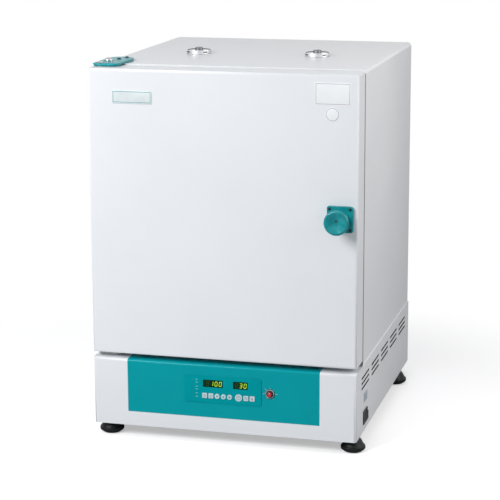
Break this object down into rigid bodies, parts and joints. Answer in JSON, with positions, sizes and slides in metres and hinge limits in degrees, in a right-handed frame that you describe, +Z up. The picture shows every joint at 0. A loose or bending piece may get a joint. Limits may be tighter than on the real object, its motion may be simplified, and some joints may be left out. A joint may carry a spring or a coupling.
{
  "type": "natural convection oven",
  "caption": "Bench-top natural convection oven: insulated hinged door with a latch knob, wire shelves over covered heaters, roof vents, and a control panel in its base.",
  "frame": {"origin": "centre of the bounding box in X and Y, at the floor under the feet", "axes": "+Z up, -Y towards the door (the front), +X to the right as seen from the front"},
  "size_m": [0.563, 0.6498, 0.7748],
  "materials": {
    "white_paint": "semi-gloss",
    "teal_paint": "satin",
    "teal_plastic": "gloss",
    "teal_film": "satin",
    "stainless": "brushed",
    "polished_steel": "polished",
    "zinc_plate": "satin",
    "heater_sheath": "dull",
    "mineral_wool": "fibrous",
    "silicone": "matte",
    "black_rubber": "matte",
    "black_plastic": "matte",
    "key_plastic": "satin",
    "red_plastic": "gloss",
    "display_lens": "gloss",
    "circuit_board": "satin",
    "iron_and_copper": "varnished",
    "ceramic": "matte"
  },
  "bodies": {
    "oven_body": {"outer_cabinet": "white_paint", "back_panel": "white_paint", "front_frame": "stainless", "frame_seal": "silicone", "latch_keeper": "zinc_plate", "cabinet_deck": "zinc_plate", "chamber_liner": "stainless", "insulation_jacket": "mineral_wool", "rear_insulation": "mineral_wool", "vent_port_left": "stainless", "vent_port_right": "stainless", "heater_left": "heater_sheath", "heater_right": "heater_sheath", "heater_cover": "stainless", "temperature_probe": "stainless", "shelf_rail_left": "stainless", "shelf_rail_right": "stainless", "hinge_top_plate": "teal_paint", "hinge_bottom_plate": "zinc_plate", "hinge_top_nut": "polished_steel", "hinge_top_pin": "stainless", "hinge_bottom_pin": "stainless", "base_housing": "white_paint", "base_floor": "zinc_plate", "control_panel": "teal_paint", "keypad_overlay": "teal_film", "display_temperature": "display_lens", "display_timer": "display_lens", "control_board": "circuit_board", "limiter_thermostat": "black_plastic", "switch_body": "black_plastic", "power_inlet": "black_plastic", "transformer": "iron_and_copper", "solid_state_relay": "black_plastic", "terminal_block": "ceramic"},
    "door": {"door_skin": "white_paint", "door_inner_panel": "stainless", "door_insulation": "mineral_wool", "handle_plate": "teal_plastic"},
    "knob": {"handle_knob": "teal_plastic", "latch_cam": "zinc_plate"},
    "upper_shelf": {"shelf_upper": "stainless"},
    "lower_shelf": {"shelf_lower": "stainless"},
    "left_damper": {"vent_damper_left": "polished_steel"},
    "right_damper": {"vent_damper_right": "polished_steel"},
    "limiter_knob": {"limiter_dial": "red_plastic"},
    "rocker": {"switch_rocker": "black_plastic"},
    "key_program_cap": {"key_program": "key_plastic"},
    "key_mode_cap": {"key_mode": "key_plastic"},
    "key_down_cap": {"key_down": "key_plastic"},
    "key_up_cap": {"key_up": "key_plastic"},
    "key_set_cap": {"key_set": "key_plastic"},
    "key_start_cap": {"key_start": "key_plastic"},
    "key_timer_cap": {"key_timer": "key_plastic"},
    "key_lock_cap": {"key_lock": "key_plastic"},
    "foot_front_left_body": {"foot_front_left": "black_rubber"},
    "foot_front_right_body": {"foot_front_right": "black_rubber"},
    "foot_rear_left_body": {"foot_rear_left": "black_rubber"},
    "foot_rear_right_body": {"foot_rear_right": "black_rubber"}
  },
  "joints": [
    {"name": "door_hinge", "type": "hinge", "parent": "oven_body", "child": "door", "pos_m": [-0.2655, -0.24592, 0.47], "axis": [0, 0, -1], "range_deg": [0, 120]},
    {"name": "knob_turn", "type": "hinge", "parent": "door", "child": "knob", "pos_m": [0.2335, -0.27992, 0.48], "axis": [0, 1, 0], "range_deg": [0, 90]},
    {"name": "upper_shelf_slide", "type": "slide", "parent": "oven_body", "child": "upper_shelf", "axis": [0, -1, 0], "range_m": [0, 0.025]},
    {"name": "lower_shelf_slide", "type": "slide", "parent": "oven_body", "child": "lower_shelf", "axis": [0, -1, 0], "range_m": [0, 0.025]},
    {"name": "left_damper_turn", "type": "hinge", "parent": "oven_body", "child": "left_damper", "pos_m": [-0.1345, 0.01012, 0.762], "axis": [0, 0, 1], "range_deg": [0, 45]},
    {"name": "right_damper_turn", "type": "hinge", "parent": "oven_body", "child": "right_damper", "pos_m": [0.1215, 0.01012, 0.762], "axis": [0, 0, 1], "range_deg": [0, 45]},
    {"name": "limiter_turn", "type": "hinge", "parent": "oven_body", "child": "limiter_knob", "pos_m": [0.09185, -0.27992, 0.115], "axis": [0, 1, 0], "range_deg": [0, 270]},
    {"name": "rocker_tilt", "type": "hinge", "parent": "oven_body", "child": "rocker", "pos_m": [0.2658, -0.19092, 0.0555], "axis": [0, 0, 1], "range_deg": [0, 20]},
    {"name": "key_program_press", "type": "slide", "parent": "oven_body", "child": "key_program_cap", "axis": [0, 1, 0], "range_m": [0, 0.001], "stiffness_N_per_m": 300},
    {"name": "key_mode_press", "type": "slide", "parent": "oven_body", "child": "key_mode_cap", "axis": [0, 1, 0], "range_m": [0, 0.001], "stiffness_N_per_m": 300},
    {"name": "key_down_press", "type": "slide", "parent": "oven_body", "child": "key_down_cap", "axis": [0, 1, 0], "range_m": [0, 0.001], "stiffness_N_per_m": 300},
    {"name": "key_up_press", "type": "slide", "parent": "oven_body", "child": "key_up_cap", "axis": [0, 1, 0], "range_m": [0, 0.001], "stiffness_N_per_m": 300},
    {"name": "key_set_press", "type": "slide", "parent": "oven_body", "child": "key_set_cap", "axis": [0, 1, 0], "range_m": [0, 0.001], "stiffness_N_per_m": 300},
    {"name": "key_start_press", "type": "slide", "parent": "oven_body", "child": "key_start_cap", "axis": [0, 1, 0], "range_m": [0, 0.001], "stiffness_N_per_m": 300},
    {"name": "key_timer_press", "type": "slide", "parent": "oven_body", "child": "key_timer_cap", "axis": [0, 1, 0], "range_m": [0, 0.001], "stiffness_N_per_m": 300},
    {"name": "key_lock_press", "type": "slide", "parent": "oven_body", "child": "key_lock_cap", "axis": [0, 1, 0], "range_m": [0, 0.001], "stiffness_N_per_m": 300},
    {"name": "foot_front_left_turn", "type": "hinge", "parent": "oven_body", "child": "foot_front_left_body", "pos_m": [-0.2545, -0.24992, 0], "axis": [0, 0, 1], "continuous": true},
    {"name": "foot_front_right_turn", "type": "hinge", "parent": "oven_body", "child": "foot_front_right_body", "pos_m": [0.2565, -0.24992, 0], "axis": [0, 0, 1], "continuous": true},
    {"name": "foot_rear_left_turn", "type": "hinge", "parent": "oven_body", "child": "foot_rear_left_body", "pos_m": [-0.2545, 0.22712, 0], "axis": [0, 0, 1], "continuous": true},
    {"name": "foot_rear_right_turn", "type": "hinge", "parent": "oven_body", "child": "foot_rear_right_body", "pos_m": [0.2565, 0.22712, 0], "axis": [0, 0, 1], "continuous": true}
  ]
}
